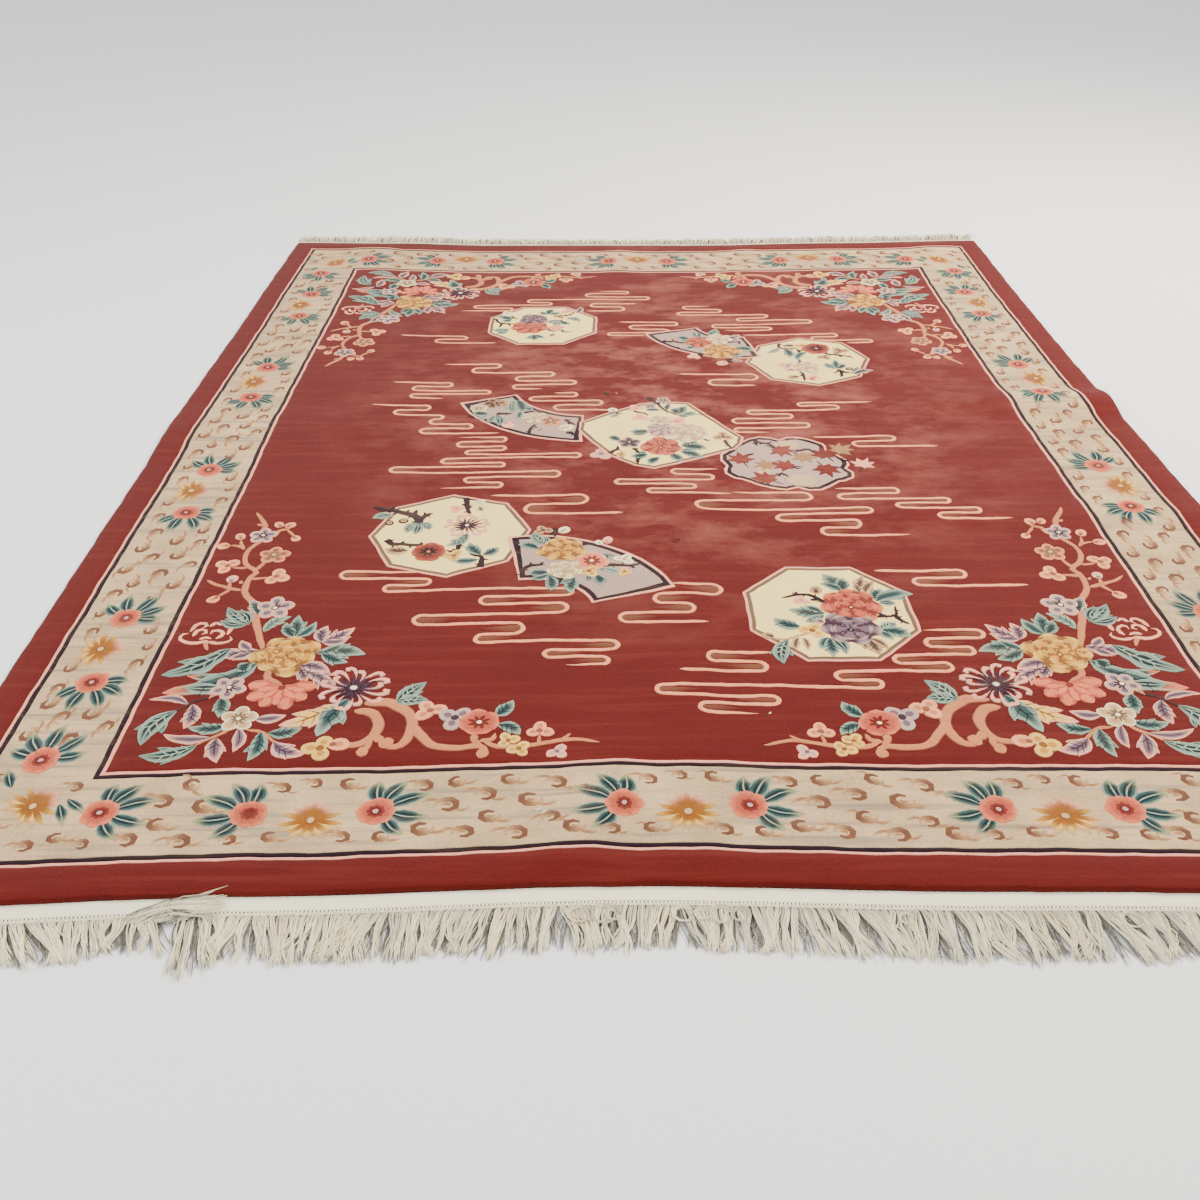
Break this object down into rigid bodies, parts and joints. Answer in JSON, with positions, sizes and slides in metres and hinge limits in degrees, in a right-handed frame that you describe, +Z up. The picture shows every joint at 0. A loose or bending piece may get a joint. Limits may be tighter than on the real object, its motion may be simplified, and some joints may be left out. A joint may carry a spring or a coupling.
{
  "type": "chinese art deco rug",
  "caption": "Rectangular hand-knotted wool pile floor rug with flat-woven cotton ends and warp fringe, lying unrolled with soft ripples.",
  "frame": {"origin": "middle of the rug's underside, on the surface it lies on", "axes": "+X across the width, +Y along the length away from the near end, +Z up through the pile"},
  "size_m": [2.4685, 3.2834, 0.0276],
  "materials": {
    "wool_pile": "shorn wool pile, brick red ground with cream, pink, gold, teal and lilac flowers",
    "cotton_warp": "undyed cotton, plain-woven and left as loose warp ends"
  },
  "bodies": {
    "root": {"pile": "wool_pile", "web_near": "cotton_warp", "web_far": "cotton_warp"}
  },
  "joints": []
}
